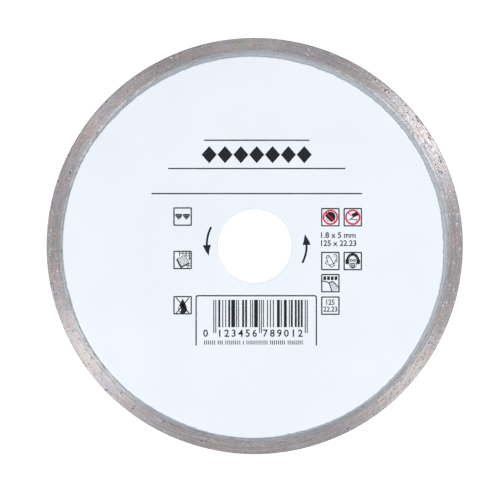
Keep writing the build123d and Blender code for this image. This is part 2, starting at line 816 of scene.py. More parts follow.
@dataclass(frozen=True)
class Blade:
    """Sizes that several pieces share, in millimetres, as the CAD model gives them.

    Attributes:
        rim_radius: Outside of the diamond rim.
        rim_half: Half its thickness.
        base_radius: Where the base ring meets the diamond rim.
        core_radius: Edge of the steel core.
        core_half: Half its thickness.
        bore_radius: The arbor bore.
        coat_top: Height of the enamel's surface.
        coat_radius: Radius of the enamel's edge.
        coat_centre: Middle of that edge on the front.
    """

    rim_radius: float
    rim_half: float
    base_radius: float
    core_radius: float
    core_half: float
    bore_radius: float
    coat_top: float
    coat_radius: float
    coat_centre: Place

    @classmethod
    def measured(cls) -> "Blade":
        """Reads the sizes from the nodes' boxes and from the record's bore.

        Returns:
            The sizes.
        """
        rim, base, core = (
            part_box(node)[1] / MM for node in ("diamond_rim", "base_ring", "steel_core")
        )
        low, high = (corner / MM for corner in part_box("front_coat"))
        mounts = {mount["name"]: mount for mount in frame["record"]["mounts"]}
        return cls(
            rim_radius=rim.x,
            rim_half=rim.y,
            base_radius=base.x,
            core_radius=core.x,
            core_half=core.y,
            bore_radius=mounts["arbor_bore"]["dims"]["r_mm"],
            coat_top=-low.y,
            coat_radius=(high.x - low.x) / 2,
            coat_centre=((high.x + low.x) / 2, (high.z + low.z) / 2),
        )


@dataclass(frozen=True)
class SteelCore:
    """The steel blank, whose notched edge is buried in the base ring.

    Attributes:
        blade: The shared sizes.
        chamfer: Width of the chamfers on the bore's edges.
        notches: How many notches there are.
        notch_depth: Their depth.
        notch_width: Their width.
    """

    blade: Blade
    chamfer: float = 0.15
    notches: int = 72
    notch_depth: float = 0.4
    notch_width: float = 1.6

    def edge(self) -> Array:
        """The core's radius at each column.

        The notches repeat by the angle. Within half a notch's width of a notch's middle,
        the radius is the core's less the notch's depth.

        Returns:
            One radius for each column.
        """
        radius = self.blade.core_radius
        angle = 2 * np.pi * np.arange(COLUMNS) / COLUMNS
        pitch = 2 * np.pi / self.notches
        offset = radius * np.abs((angle + pitch / 2) % pitch - pitch / 2)
        return radius - self.notch_depth * (offset < self.notch_width / 2)

    def build(self) -> bpy.types.Object:
        """Builds the core: its turned outline, with the outer side following the notches.

        Returns:
            The piece that stands for the CAD core.
        """
        half, bore, cut = self.blade.core_half, self.blade.bore_radius, self.chamfer
        corners = np.array(
            [
                (bore, half - cut),
                (bore + cut, half),
                (self.blade.core_radius, half),
                (self.blade.core_radius, -half),
                (bore + cut, -half),
                (bore, cut - half),
            ]
        )
        outline = divided(eased(corners, (0.04, 0.04, 0.0, 0.0, 0.04, 0.04)), 4.0)
        grid = np.repeat(outline[None], COLUMNS, 0)
        at_edge = outline[:, 0] > self.blade.core_radius - 0.01
        grid[:, at_edge, 0] = self.edge()[:, None]
        piece = wrapped(turned(grid)).piece("core_plate", GroundSteel())
        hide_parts("steel_core")
        return piece


@dataclass(frozen=True)
class BaseRing:
    """The layer without diamond that grips the core's edge.

    Attributes:
        blade: The shared sizes.
        core: The core, whose notches it fills.
        lip_radius: Where it begins on the core's face.
        lip_step: How high it begins.
        shoulder_radius: Where it reaches its full thickness.
        wander: How far the lip's radius strays.
        grain: Height of its grains.
        pit: Depth of its pits.
    """

    blade: Blade
    core: SteelCore
    lip_radius: float = 57.95
    lip_step: float = 0.04
    shoulder_radius: float = 58.5
    wander: float = 0.06
    grain: float = 0.006
    pit: float = 0.07

    def build(self, rng: np.random.Generator) -> bpy.types.Object:
        """Builds the ring, with a ragged, pitted lip.

        The lip's radius wanders by a smooth noise. Pits are where a second noise passes 1.5,
        near the lip only.

        Args:
            rng: Where the random numbers come from.

        Returns:
            The piece that stands for the CAD ring.
        """
        core, full = self.blade.core_half, self.blade.rim_half
        upper = np.array(
            [
                (self.lip_radius, core),
                (self.lip_radius, core + self.lip_step),
                (self.shoulder_radius, full),
                (self.blade.base_radius, full),
            ]
        )
        lower = upper[::-1] * (1, -1)
        inside = np.array([(self.blade.core_radius, -core), (self.blade.core_radius, core)])
        radii = (0, 0.05, 0.2, 0, 0, 0.2, 0.05, 0, 0, 0)
        outline = divided(eased(np.concatenate([upper, lower, inside]), radii), 0.14)
        shape = (COLUMNS, len(outline))
        buried = (np.abs(outline[:, 1]) <= core + 1e-6) | (
            outline[:, 0] > self.blade.base_radius - 0.05
        )
        near_lip = ~buried * (1 - step(outline[:, 0], self.lip_radius, self.lip_radius + 0.7))
        pits = np.clip(smooth_noise(shape, (1.2, 0.9), rng) - 1.5, 0, 1) * near_lip
        grains = smooth_noise(shape, (1.0, 0.8), rng) * ~buried
        grid = raised(outline, self.grain * grains - self.pit * pits)
        grid[..., 0] += self.wander * straying(2.5, rng) * near_lip
        hidden = (np.abs(outline[:, 1]) <= core + 1e-6) & (
            outline[:, 0] > self.blade.core_radius - 0.01
        )
        grid[:, hidden, 0] = self.core.edge()[:, None]
        # The pits' mark darkens the finish in them as painted shade.
        piece = wrapped(turned(grid), {"pit": pits}).piece("base_layer", PLAIN_BOND)
        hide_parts("base_ring")
        return piece


@dataclass(frozen=True)
class DiamondRim:
    """The abrasive ring.

    Attributes:
        blade: The shared sizes.
        corner: Radius of its dressed outer corners.
        spacing: Longest step of its outline.
        opened: Direction, in degrees, of the two opposite stretches that the dressing
            stone opened most, so that more crystals were pulled out there.
        swell: Height of its swells.
        line: Height of its dressing lines.
        grain: Height of its grains.
        lip: Height of the lips round pits.
        pit: Depth of its pits.
        nick: Depth of the nicks in its corners.
    """

    blade: Blade
    corner: float = 0.3
    spacing: float = 0.17
    opened: float = 38.0
    swell: float = 0.008
    line: float = 0.003
    grain: float = 0.001
    lip: float = 0.016
    pit: float = 0.06
    nick: float = 0.09

    def outline(self) -> Array:
        """The ring's outline: a rectangle with rounded outer corners.

        Returns:
            Radius and height of its points, none of them within the inner wall.
        """
        half, inner, outer = self.blade.rim_half, self.blade.base_radius, self.blade.rim_radius
        corners = np.array([(inner, half), (outer, half), (outer, -half), (inner, -half)])
        rounded = eased(corners, (0, self.corner, self.corner, 0), 4)
        fine = divided(rounded, self.spacing)
        middle = (fine[:, 0] < inner + 0.01) & (np.abs(fine[:, 1]) < half - 0.01)
        return fine[~middle]

    def relief(self, outline: Array, rng: np.random.Generator) -> tuple[Array, Array]:
        """The ring's surface: swells, dressing lines, grains, pits and nicked corners.

        Each is a smooth noise. Swells are long both ways, lines are long round the ring and
        fine across it, grains are as fine as the grid, and pits and nicks are what is left
        of a noise above a threshold. The pits' threshold sinks by 0.5 times the fourth power
        of the cosine of twice the angle from the opened stretches, and where the noise comes
        within 0.5 of it the metal is pushed up into a lip. All of them fade out where the
        ring meets the base.

        Args:
            outline: Radius and height of the outline's points.
            rng: Where the random numbers come from.

        Returns:
            The relief in millimetres and how deep in a pit each point is, from 0 to 1.
        """
        shape = (COLUMNS, len(outline))
        free = step(outline[:, 0], self.blade.base_radius + 0.01, self.blade.base_radius + 0.3)
        across = self.blade.rim_half - np.abs(outline[:, 1])
        inward = self.blade.rim_radius - outline[:, 0]
        corner = 1 - step(np.maximum(across, inward), self.corner, self.corner + 0.25)
        swells = smooth_noise(shape, (26, 5), rng)
        lines = smooth_noise(shape, (30, 0.7), rng)
        grains = smooth_noise(shape, (0.8, 0.9), rng)
        angle = 2 * np.pi * np.arange(COLUMNS)[:, None] / COLUMNS - math.radians(self.opened)
        opened = np.maximum(np.cos(2 * angle), 0) ** 4
        above = smooth_noise(shape, (0.9, 1.1), rng) - (2.2 - 0.5 * opened)
        pits = np.clip(1.4 * above, 0, 1)
        lips = opened * step(above, -0.5, -0.1) * (1 - step(above, 0.0, 0.3))
        nicks = np.clip(smooth_noise(shape, (0.8, 1.2), rng) - 1.1, 0, 1.5) * corner
        relief = self.swell * swells + self.line * lines + self.grain * grains
        relief += self.lip * lips - self.pit * pits - self.nick * nicks
        # The second value darkens the finish in pits and nicks as painted shade.
        return relief * free, np.clip(0.7 * pits + 0.25 * nicks, 0, 1) * free

    def build(self, rng: np.random.Generator) -> bpy.types.Object:
        """Builds the ring.

        Args:
            rng: Where the random numbers come from.

        Returns:
            The piece that stands for the CAD rim.
        """
        outline = self.outline()
        relief, pits = self.relief(outline, rng)
        skin = wrapped(turned(raised(outline, relief)), {"pit": pits})
        piece = skin.piece("diamond_layer", DIAMOND_BOND)
        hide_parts("diamond_rim")
        return piece


@dataclass(frozen=True)
class ExposedDiamonds:
    """The crystals that stand out of the rim.

    Attributes:
        blade: The shared sizes.
        on_each_side: Crystals on each side of the rim.
        on_edge: Crystals on its cutting edge.
        smallest: Radius of the smallest.
        largest: Radius of the largest.
        sunk: How deep each one's middle lies, as a share of its radius.
    """

    blade: Blade
    on_each_side: int = 400
    on_edge: int = 300
    smallest: float = 0.09
    largest: float = 0.17
    sunk: float = 0.50

    @staticmethod
    def crystal() -> tuple[Array, list[list[int]]]:
        """One crystal: a cube whose corners are cut to the middles of its edges.

        Its points are all (+-1, +-1, 0) in each order. Six square faces have the points
        that share one coordinate, and eight triangles have those that share an octant.

        Returns:
            Its points, and the point numbers of its faces, which point outwards.
        """
        places = [p for p in itertools.product((-1, 0, 1), repeat=3) if p.count(0) == 1]
        points = np.array(places, float)
        ways = [np.array(way, float) for way in itertools.product((-1, 0, 1), repeat=3)]
        faces = []
        for way in ways:
            if np.abs(way).sum() not in (1, 3):
                continue
            reach = points @ way
            found = np.flatnonzero(reach > reach.max() - 1e-6)
            centre = points[found].mean(0)
            side = points[found[0]] - centre
            other = np.cross(way, side)
            spoke = points[found] - centre
            across, along = (
                spoke @ direction / np.linalg.norm(direction) for direction in (other, side)
            )
            turn = np.arctan2(across, along)
            faces.append(found[np.argsort(turn)].tolist())
        return points / math.sqrt(2), faces

    def places(self, count: int, rng: np.random.Generator) -> tuple[Array, Array]:
        """Scatters places evenly over a band.

        Place i is at the angle (i + a random share) / count, and across the band at the
        fractional part of i times the golden ratio, so that no two fall together.

        Args:
            count: How many.
            rng: Where the random numbers come from.

        Returns:
            Their angles, and their shares across the band.
        """
        order = np.arange(count)
        angle = 2 * np.pi * (order + rng.random(count)) / count
        return angle, (order * (math.sqrt(5) - 1) / 2 + 0.15 * rng.random(count)) % 1

    def build(self, rng: np.random.Generator) -> bpy.types.Object:
        """Builds all the crystals as one piece.

        Each is turned by a random unit quaternion, stretched a little along each axis, and
        sunk into the surface that it stands on.

        Args:
            rng: Where the random numbers come from.

        Returns:
            The piece.
        """
        blade = self.blade
        low, high = blade.base_radius + 0.35, blade.rim_radius - 0.35
        angles, radii, heights, sizes = [], [], [], []
        for count, side in (
            (self.on_each_side, 1), (self.on_each_side, -1), (self.on_edge, 0)
        ):
            angle, share = self.places(count, rng)
            size = self.smallest + (self.largest - self.smallest) * rng.random(count)
            lift = self.sunk * size
            flat = (2 * share - 1) * (blade.rim_half - 0.25)
            radii.append(low + (high - low) * share if side else blade.rim_radius - lift)
            heights.append(side * (blade.rim_half - lift) if side else flat)
            angles.append(angle)
            sizes.append(size)
        angle, radius, height, size = map(np.concatenate, (angles, radii, heights, sizes))
        middle = np.stack([radius * np.cos(angle), -height, radius * np.sin(angle)], -1)

        q = rng.standard_normal((len(size), 4))
        w, x, y, z = (q / np.linalg.norm(q, axis=1, keepdims=True)).T
        spin = np.array(
            [
                [1 - 2 * (y * y + z * z), 2 * (x * y - w * z), 2 * (x * z + w * y)],
                [2 * (x * y + w * z), 1 - 2 * (x * x + z * z), 2 * (y * z - w * x)],
                [2 * (x * z - w * y), 2 * (y * z + w * x), 1 - 2 * (x * x + y * y)],
            ]
        ).transpose(2, 0, 1)
        points, faces = self.crystal()
        stretch = 1 + 0.25 * (rng.random((len(size), 1, 3)) - 0.5)
        shape = (points[None] * stretch * size[:, None, None]) @ spin
        corners = np.concatenate(faces)
        offsets = len(points) * np.arange(len(size))[:, None]
        skin = Surface(
            MM * (shape + middle[:, None]).reshape(-1, 3),
            (corners[None] + offsets).ravel(),
            np.tile([len(face) for face in faces], len(size)),
        )
        return skin.piece("diamond_crystals", Crystal(), smooth=False)


class Side(Enum):
    """A face of the blade: its sign in height, which is positive at the front."""

    FRONT = 1
    BACK = -1


@dataclass(frozen=True)
class EnamelCoat:
    """The enamel on one face of the core.

    Attributes:
        blade: The shared sizes.
        side: The face it lies on.
        set_back: How far outside the bore it begins.
        inner_fade: Width over which it thins out towards the bore.
        outer_fade: Width over which it thins out towards the rim.
        feather: How far its thin edge runs past the CAD film's.
        wander: How far that edge strays, in long waves.
        ragged: How far it strays in short ones.
        waves: How high the waves in its surface are.
        stop: The lip of the base ring, which it doesn't pass.
    """

    blade: Blade
    side: Side
    set_back: float = 0.09
    inner_fade: float = 0.30
    outer_fade: float = 0.75
    feather: float = 0.25
    wander: float = 0.11
    ragged: float = 0.05
    waves: float = 0.003
    stop: float = 57.93

    def build(self, rng: np.random.Generator) -> bpy.types.Object:
        """Builds the coat.

        Its outer edge is a circle about the coat's own middle, plus a smooth noise. With d
        the distance from the nearer edge and f the fade there, its thickness is the full
        one times the soft step of d / f, and low waves run over it.

        Args:
            rng: Where the random numbers come from.

        Returns:
            The piece that stands for the CAD coat.
        """
        blade, front = self.blade, self.side is Side.FRONT
        x, z = blade.coat_centre if front else (0.0, 0.0)
        angle = 2 * np.pi * np.arange(COLUMNS)[:, None] / COLUMNS
        wander = self.wander * straying(26, rng)
        ragged = self.ragged * straying(1.6, rng)
        reach = x * np.cos(angle) + z * np.sin(angle)
        aside = x * np.sin(angle) - z * np.cos(angle)
        edge = reach + np.sqrt(blade.coat_radius**2 - aside**2)
        outer = np.minimum(edge + self.feather + wander + ragged, self.stop)
        inner = blade.bore_radius + self.set_back + 0.02 * straying(6, rng)

        fine = np.linspace(0, 1, 9)
        share = np.concatenate(
            [0.5 * self.inner_fade * fine, self.inner_fade * (0.6 + 0.4 * fine)]
        )
        width = outer - inner
        near_bore = share / width
        near_rim = 1 - (self.outer_fade * 1.2 * np.linspace(1, 0, 12)) / width
        middle = near_bore[:, -1:] + (near_rim[:, :1] - near_bore[:, -1:]) * np.linspace(
            0.02, 0.98, 36
        )
        across = np.concatenate([near_bore, middle, near_rim], 1)
        radius = inner + width * across
        shown = step(outer - radius, 0, self.outer_fade)
        cover = step(radius - inner, 0, self.inner_fade) * shown
        waves = self.waves * smooth_noise(radius.shape, (12, 1.5), rng)
        film = (blade.coat_top - blade.core_half) * cover * (1 + waves / 0.06) + waves * cover
        below = np.stack([outer - 0.2, inner + 0.2], 1)[..., 0]
        top = np.stack([radius, blade.core_half + film], -1)
        under = np.stack([below, np.full(below.shape, blade.core_half - 0.002)], -1)
        grid = np.concatenate([top, under], 1) * (1, self.side.value)
        marks = {"cover": np.concatenate([shown, np.ones(below.shape)], 1)}
        name = "enamel_front" if front else "enamel_back"
        piece = wrapped(turned(grid), marks).piece(name, Enamel())
        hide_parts("front_coat" if front else "back_coat")
        return piece


# Marks printed on the front


@dataclass(frozen=True)
class Press:
    """Lays ink on the enamel: turns flat shapes in millimetres into low solids.

    Attributes:
        foot: Height of the ink's underside, just inside the enamel.
        top: Height of its surface.
        line: Width of a thin line.
    """

    foot: float
    top: float
    line: float = 0.38

    def prints(self, name: str, marks: Sequence[Surface], ink: Ink = BLACK_INK) -> None:
        """Makes solid marks one printed piece."""
        joined(marks).piece(name, ink, smooth=False)

    def raised(self, flat: Array, share: object) -> Array:
        """Puts flat points at a share of the way from the ink's underside to its surface."""
        height = self.foot + (self.top - self.foot) * np.broadcast_to(share, flat.shape[:-1])
        return MM * np.stack([flat[..., 0], -height, flat[..., 1]], -1)

    def stroke(self, path: Array, width: object = None, closed: bool = False) -> Surface:
        """Draws a line of ink along a path.

        The section at each point is a low trapezium, set out along the mitre: the sum of
        the two neighbouring normals over one plus their product. It is the line's width at
        its foot and at two thirds of its height, and nine tenths of it on top.

        Args:
            path: Across and up of each point.
            width: The line's width, the same all along or one for each point.
            closed: Whether the last point joins the first.

        Returns:
            The solid line.
        """
        path = np.asarray(path, float)
        half = np.broadcast_to(self.line if width is None else width, len(path))[:, None] / 2
        ahead = np.roll(path, -1, 0) - path
        if not closed:
            ahead[-1] = ahead[-2]
        ahead /= np.linalg.norm(ahead, axis=1, keepdims=True)
        normal = np.stack([-ahead[:, 1], ahead[:, 0]], -1)
        before = np.roll(normal, 1, 0)
        if not closed:
            before[0] = normal[0]
        mitre = (normal + before) / (1 + np.sum(normal * before, 1, keepdims=True))
        spread = np.array([-1, -1, -0.9, 0.9, 1, 1])[:, None]
        share = np.array([0, 0.67, 1, 1, 0.67, 0])
        flat = path[:, None] + spread * (mitre * half)[:, None]
        sections = self.raised(flat, share)
        return wrapped(sections) if closed else tube(sections)

    def solid(self, outline: Array) -> Surface:
        """Fills a closed outline with ink.

        Args:
            outline: Across and up of each corner.

        Returns:
            The solid shape, as a wall between two flat faces.
        """
        flat = np.asarray(outline, float)
        return tube(np.stack([self.raised(flat, 0.0), self.raised(flat, 1.0)]))

    def box(self, centre: Place, size: float = 5.55, corner: float = 0.14) -> Surface:
        """Draws a square with slightly rounded corners.

        Args:
            centre: Its middle.
            size: Its width outside.
            corner: Radius of its corners.

        Returns:
            The square.
        """
        half = (size - self.line) / 2
        corners = half * np.array([(-1, -1), (1, -1), (1, 1), (-1, 1)]) + centre
        return self.stroke(eased(corners, [corner] * 4, 4), closed=True)

    def lettering(
        self, text: str, middle: float, foot: float, height: float, width: float = 0.0
    ) -> Surface:
        """Prints numerals and unit signs, fitted to a box.

        Args:
            text: What is printed.
            middle: Place across of the box's middle.
            foot: Its lower side.
            height: Its height.
            width: Its width, or nought for the letters' own proportions.

        Returns:
            The solid numerals.
        """
        curve = bpy.data.curves.new("lettering", "FONT")
        curve.body, curve.extrude, curve.resolution_u, curve.offset = text, 0.5, 3, 0.016
        holder = bpy.data.objects.new("lettering", curve)
        mesh = bpy.data.meshes.new_from_object(holder)
        merged = bmesh.new()
        merged.from_mesh(mesh)
        bmesh.ops.remove_doubles(merged, verts=merged.verts, dist=1e-5)
        bmesh.ops.recalc_face_normals(merged, faces=merged.faces)
        merged.to_mesh(mesh)
        merged.free()
        points = np.empty(3 * len(mesh.vertices), np.float32)
        mesh.vertices.foreach_get("co", points)
        points = points.reshape(-1, 3).astype(float)
        corners = np.empty(len(mesh.loops), np.int32)
        mesh.loops.foreach_get("vertex_index", corners)
        sizes = np.empty(len(mesh.polygons), np.int32)
        mesh.polygons.foreach_get("loop_total", sizes)
        bpy.data.objects.remove(holder)
        bpy.data.curves.remove(curve)
        bpy.data.meshes.remove(mesh)
        low, span = points.min(0), np.ptp(points, 0)
        share = (points - low) / span
        wide = width or height * span[0] / span[1]
        flat = share[:, :2] * (wide, height) + (middle - wide / 2, foot)
        return Surface(self.raised(flat, share[:, 2]), corners, sizes)


def arc(centre: Place, radius: object, start: float, end: float, count: int = 16) -> Array:
    """Points on an arc, or on an ellipse where the radius is a pair.

    Args:
        centre: Its middle.
        radius: Its radius, or its radii across and up.
        start: Angle of its first point, in degrees from the right, anticlockwise.
        end: Angle of its last point.
        count: How many points.

    Returns:
        Across and up of each point.
    """
    angle = np.radians(np.linspace(start, end, count))
    return np.stack([np.cos(angle), np.sin(angle)], -1) * radius + centre


def ring(centre: Place, radius: object, count: int = 32) -> Array:
    """Points all round a circle or ellipse, the first not repeated."""
    return arc(centre, radius, 0, 360 - 360 / count, count)


def moved(points: object, centre: Place, turn: float = 0.0, scale: float = 1.0) -> Array:
    """Scales points, turns them by an angle in degrees, then moves them.

    Args:
        points: Across and up of each point about their own middle.
        centre: Where their middle goes.
        turn: The angle, anticlockwise.
        scale: How much larger they become.

    Returns:
        The points in their new place.
    """
    c, s = math.cos(math.radians(turn)), math.sin(math.radians(turn))
    return scale * np.asarray(points, float) @ np.array([(c, s), (-s, c)]) + centre


class Pictogram(Enum):
    """What a printed box shows."""

    GEMS = "gems"
    TILE = "tile"
    DROP = "drop"
    DISC = "disc"
    BLOCK = "block"
    MITTEN = "mitten"
    HEAD = "head"
    LEAFLET = "leaflet"
    SIZE = "size"


@dataclass(frozen=True)
class PrintedBox:
    """A square with a picture in it.

    Attributes:
        press: What prints it.
        picture: The picture.
        centre: Its middle.
    """

    press: Press
    picture: Pictogram
    centre: Place

    def at(self, points: object, turn: float = 0.0) -> Array:
        """Puts points given about the box's middle in their place on the blade."""
        return moved(moved(points, (0, 0), turn), self.centre)

    def line(self, points: object, width: float = 0.2, closed: bool = False) -> Surface:
        """Draws a line given about the box's middle."""
        return self.press.stroke(self.at(points), width, closed)

    def fill(self, points: object) -> Surface:
        """Fills an outline given about the box's middle."""
        return self.press.solid(self.at(points))

    def gems(self) -> list[Surface]:
        """Two cut gems side by side, each of four facets with thin gaps between them.

        Returns:
            The picture's marks.
        """
        crown = [(-1.14, 0.40), (-0.86, 0.80), (0.86, 0.80), (1.14, 0.40)]
        left = [(-1.14, 0.35), (-0.40, 0.35), (-0.04, -0.98)]
        keel = [(-0.35, 0.35), (0.35, 0.35), (0.0, -0.94)]
        facets = [crown, left, keel, np.multiply(left, (-1, 1))]
        return [
            self.fill(np.asarray(facet) + (side, 0.0))
            for facet, side in itertools.product(facets, (-1.15, 1.15))
        ]

    def tile(self) -> list[Surface]:
        """A tilted tile, hatched, with thick lower sides, in front of a wall of tiles.

        Returns:
            The picture's marks.
        """
        marks = [
            self.line([(x, 2.5), (x, low)], 0.24)
            for x, low in ((-0.95, 1.2), (0.05, 1.65), (1.05, 1.3), (2.05, -0.1))
        ]
        marks += [
            self.line([(left, z), (2.5, z)], 0.22)
            for z, left in ((1.95, -0.95), (1.2, 1.0), (0.45, 1.75), (-0.95, 2.1), (-1.7, 1.0))
        ]
        marks.append(self.line([(1.4, -2.5), (1.9, -1.3)], 0.24))
        side = 1.32
        square = np.array([(-side, -side), (side, -side), (side, side), (-side, side)])
        middle, turn = (0.12, -0.25), 28.0
        marks.append(self.line(moved(square, middle, turn), 0.14, closed=True))
        hatch = np.linspace(-side, side, 12)[1:-1]
        marks += [
            self.line(moved([(-side, z), (side, z)], middle, turn), 0.07) for z in hatch
        ]
        edges = [(-side - 0.13, side), (-side - 0.13, -side - 0.13), (side, -side - 0.13)]
        marks.append(self.line(moved(edges, middle, turn), 0.46))
        return marks

    def drop(self) -> list[Surface]:
        """A drop with a glint cut out of it, struck through from corner to corner.

        At the angle t its height is cos t and its half width sin t times the power 1.5 of
        the sine of t / 2, each times its size. On the left the solid part is drawn in by a
        soft hump of t, and a thin line keeps the outline there.

        Returns:
            The picture's marks.
        """
        t = np.radians(np.linspace(1.0, 178.0, 40))
        wide, high = 1.84 * np.sin(t) * np.sin(t / 2) ** 1.5, 2.25 * np.cos(t) - 0.2
        right = np.stack([wide, high], -1)
        hump = 0.62 * np.clip(1 - ((np.degrees(t) - 118.0) / 36.0) ** 2, 0, 1)
        left = np.stack([-wide * (1 - hump), high], -1)
        shown = (t > np.radians(80.0)) & (t < np.radians(156.0))
        edge = np.stack([0.10 - wide, high], -1)[shown]
        marks = [self.fill(np.concatenate([right[::-1], left])), self.line(edge, 0.20)]
        marks += [
            self.line([(side * -1.95, 2.28), (side * 1.92, -2.36)], 0.30) for side in (-1, 1)
        ]
        return marks

    def disc(self) -> list[Surface]:
        """A plain disc, cut off at its lower left, with two thin bars beside the cut.

        Returns:
            The picture's marks.
        """
        edge = ring((-0.02, 0.12), 1.55, 48)
        x, z = edge.T
        slant = (x + z) / math.sqrt(2)
        cuts = (-1.46, -1.24, -1.02)
        marks = [self.fill(edge[slant > cuts[-1]])]
        across = np.array([1, -1]) / math.sqrt(2)
        for far, near in zip(cuts[:-1], cuts[1:]):
            middle = (far + near) / 2
            reach = math.sqrt(max(1.55**2 - (middle - 0.07) ** 2, 0.1)) - 0.12
            ends = np.array([1, 1]) / math.sqrt(2) * middle
            marks.append(self.line([ends - reach * across, ends + reach * across], 0.11))
        return marks

    def block(self) -> list[Surface]:
        """A tilted block above a thin curling blade.

        Returns:
            The picture's marks.
        """
        block = moved([(-0.9, -0.6), (0.9, -0.6), (0.9, 0.6), (-0.9, 0.6)], (0.68, 0.78), 24)
        blade = [(-1.9, -1.0), (-0.5, -0.72), (1.55, -0.86), (1.5, -0.68), (-0.2, -0.5)]
        blade += [(0.15, -0.02), (-0.08, 0.1), (-0.55, -0.42)]
        return [self.fill(block), self.fill(blade)]

    def mitten(self) -> list[Surface]:
        """Two mittens in outline, fingers up and leaning apart, with a cuff.

        Returns:
            The picture's marks.
        """
        palm = np.concatenate(
            [
                [(-0.62, -2.0), (-0.86, -0.75)],
                arc((-1.22, -0.15), 0.40, 235, 75, 8),
                [(-0.80, -0.02)],
                arc((-0.12, 1.05), (0.66, 0.85), 175, 5, 14),
                [(0.66, -0.2), (0.72, -2.0)],
            ]
        )
        behind = np.concatenate([arc((0.1, 1.2), (0.66, 0.85), 150, -10, 12), [(0.72, -0.9)]])
        thumb = arc((0.95, 0.2), 0.36, 100, -70, 8)
        lines = [
            (palm, 24.0, (-0.1, 0.05), 0.22, True),
            ([(-0.78, -1.25), (0.70, -1.25)], 24.0, (-0.1, 0.05), 0.20, False),
            ([(-0.30, 0.9), (-0.34, 1.5)], 24.0, (-0.1, 0.05), 0.16, False),
            ([(0.14, 0.9), (0.14, 1.6)], 24.0, (-0.1, 0.05), 0.16, False),
            (behind, -22.0, (0.85, 0.2), 0.22, False),
            (thumb, -22.0, (0.85, 0.2), 0.20, False),
            ([(0.0, 1.0), (-0.02, 1.7)], -22.0, (0.85, 0.2), 0.16, False),
        ]
        return [
            self.line(moved(points, place, turn, 0.93), width, closed)
            for points, turn, place, width, closed in lines
        ]

    def head(self) -> list[Surface]:
        """A plain oval head with ear cups, round goggles and a mask.

        Returns:
            The picture's marks.
        """
        marks = [
            self.line(ring((0.0, -0.2), (1.24, 1.9), 28), 0.18, closed=True),
            self.line(arc((0.0, 0.1), (1.66, 2.0), 12, 168, 24), 0.62),
            self.line([(-0.14, 0.26), (0.14, 0.26)], 0.20),
            self.line(ring((0.0, -1.25), (0.56, 0.62), 20), 0.28, closed=True),
            self.fill(ring((0.0, -1.25), (0.24, 0.26), 14)),
        ]
        for side in (-1, 1):
            marks += [
                self.fill(ring((1.70 * side, -0.15), (0.54, 0.86), 20)),
                self.line(ring((0.50 * side, 0.2), (0.36, 0.30), 18), 0.22, closed=True),
                self.line([(1.05 * side, -0.5), (0.5 * side, -0.95)], 0.18),
            ]
        return marks

    def leaflet(self) -> list[Surface]:
        """A row of four solid bars over a curling page, half of it hatched.

        Returns:
            The picture's marks.
        """
        bar = 0.5 * np.array([(-0.82, -1.12), (0.82, -1.12), (0.82, 1.12), (-0.82, 1.12)])
        marks = [self.fill(bar + (x, 1.50)) for x in (-1.68, -0.56, 0.56, 1.68)]
        fold = [(-2.6, 0.62), *arc((-1.75, -1.25), (1.8, 1.8), 85, 28, 8), (0.45, -2.6)]
        page = [(-0.62, 0.22), *arc((0.45, -0.45), (0.95, 0.9), 150, 40, 8), (2.6, -1.35)]
        marks += [self.line(np.array(curve), 0.32) for curve in (fold, page)]
        order = np.arange(11)[:, None]
        lefts = np.array([-0.42, 0.1]) + order * (0.095, -0.25)
        rights = np.array([0.95, 0.28]) + order * (0.155, -0.19)
        marks += [self.line([left, right], 0.07) for left, right in zip(lefts, rights)]
        return marks

    def size(self) -> list[Surface]:
        """The blade's diameter over its bore, as numerals.

        Returns:
            The picture's marks.
        """
        x, z = self.centre
        return [
            self.press.lettering("125", x, z + 0.22, 1.65, 2.5),
            self.press.lettering("22.23", x, z - 1.85, 1.60, 4.2),
        ]

    def build(self) -> None:
        """Builds the box with its picture, and a red ring and bar over a barred one."""
        name = f"print_{self.picture.value}"
        marks = getattr(self, self.picture.value)()
        marks.append(self.press.box(self.centre))
        self.press.prints(name, marks)
        bars = {
            Pictogram.DISC: [[(-1.40, 1.40), (1.40, -1.40)]],
            Pictogram.BLOCK: [[(-1.40, 1.40), (-0.35, 0.35)], [(0.95, -0.95), (1.40, -1.40)]],
        }
        if self.picture in bars:
            over = replace(self, press=replace(self.press, top=self.press.top + RED_OVER_BLACK))
            red = [over.line(ring((0, 0), 2.06, 40), 0.52, closed=True)]
            red += [over.line(bar, 0.30) for bar in bars[self.picture]]
            self.press.prints(f"{name}_ring", red, RED_INK)


@dataclass(frozen=True)
class HeadPanel:
    """The three rules above the bore, with a row of lozenges between the first two.

    Attributes:
        press: What prints it.
        middle: Place across of its middle.
        rules: Height and half length of each rule.
        row_foot: Lower side of the row of lozenges.
        row_height: Its height.
        row_width: Its width.
        lozenges: How many there are.
        gap: Space between two of them.
    """

    press: Press
    middle: float = 0.6
    rules: tuple[Place, ...] = ((31.76, 15.82), (23.27, 26.6), (15.73, 31.6))
    row_foot: float = 24.83
    row_height: float = 5.19
    row_width: float = 33.3
    lozenges: int = 7
    gap: float = 0.22

    def build(self) -> None:
        """Builds the rules as one piece and the lozenges as another."""
        lines = [
            self.press.stroke([(self.middle - reach, z), (self.middle + reach, z)])
            for z, reach in self.rules
        ]
        self.press.prints("print_rules", lines)
        pitch = self.row_width / self.lozenges
        half = np.array([(pitch - self.gap) / 2, self.row_height / 2])
        shape = np.array([(-1, 0), (0, -1), (1, 0), (0, 1)]) * half
        start = self.middle - self.row_width / 2 + pitch / 2
        row = [
            self.press.solid(shape + (start + pitch * i, self.row_foot + half[1]))
            for i in range(self.lozenges)
        ]
        self.press.prints("print_lozenges", row)


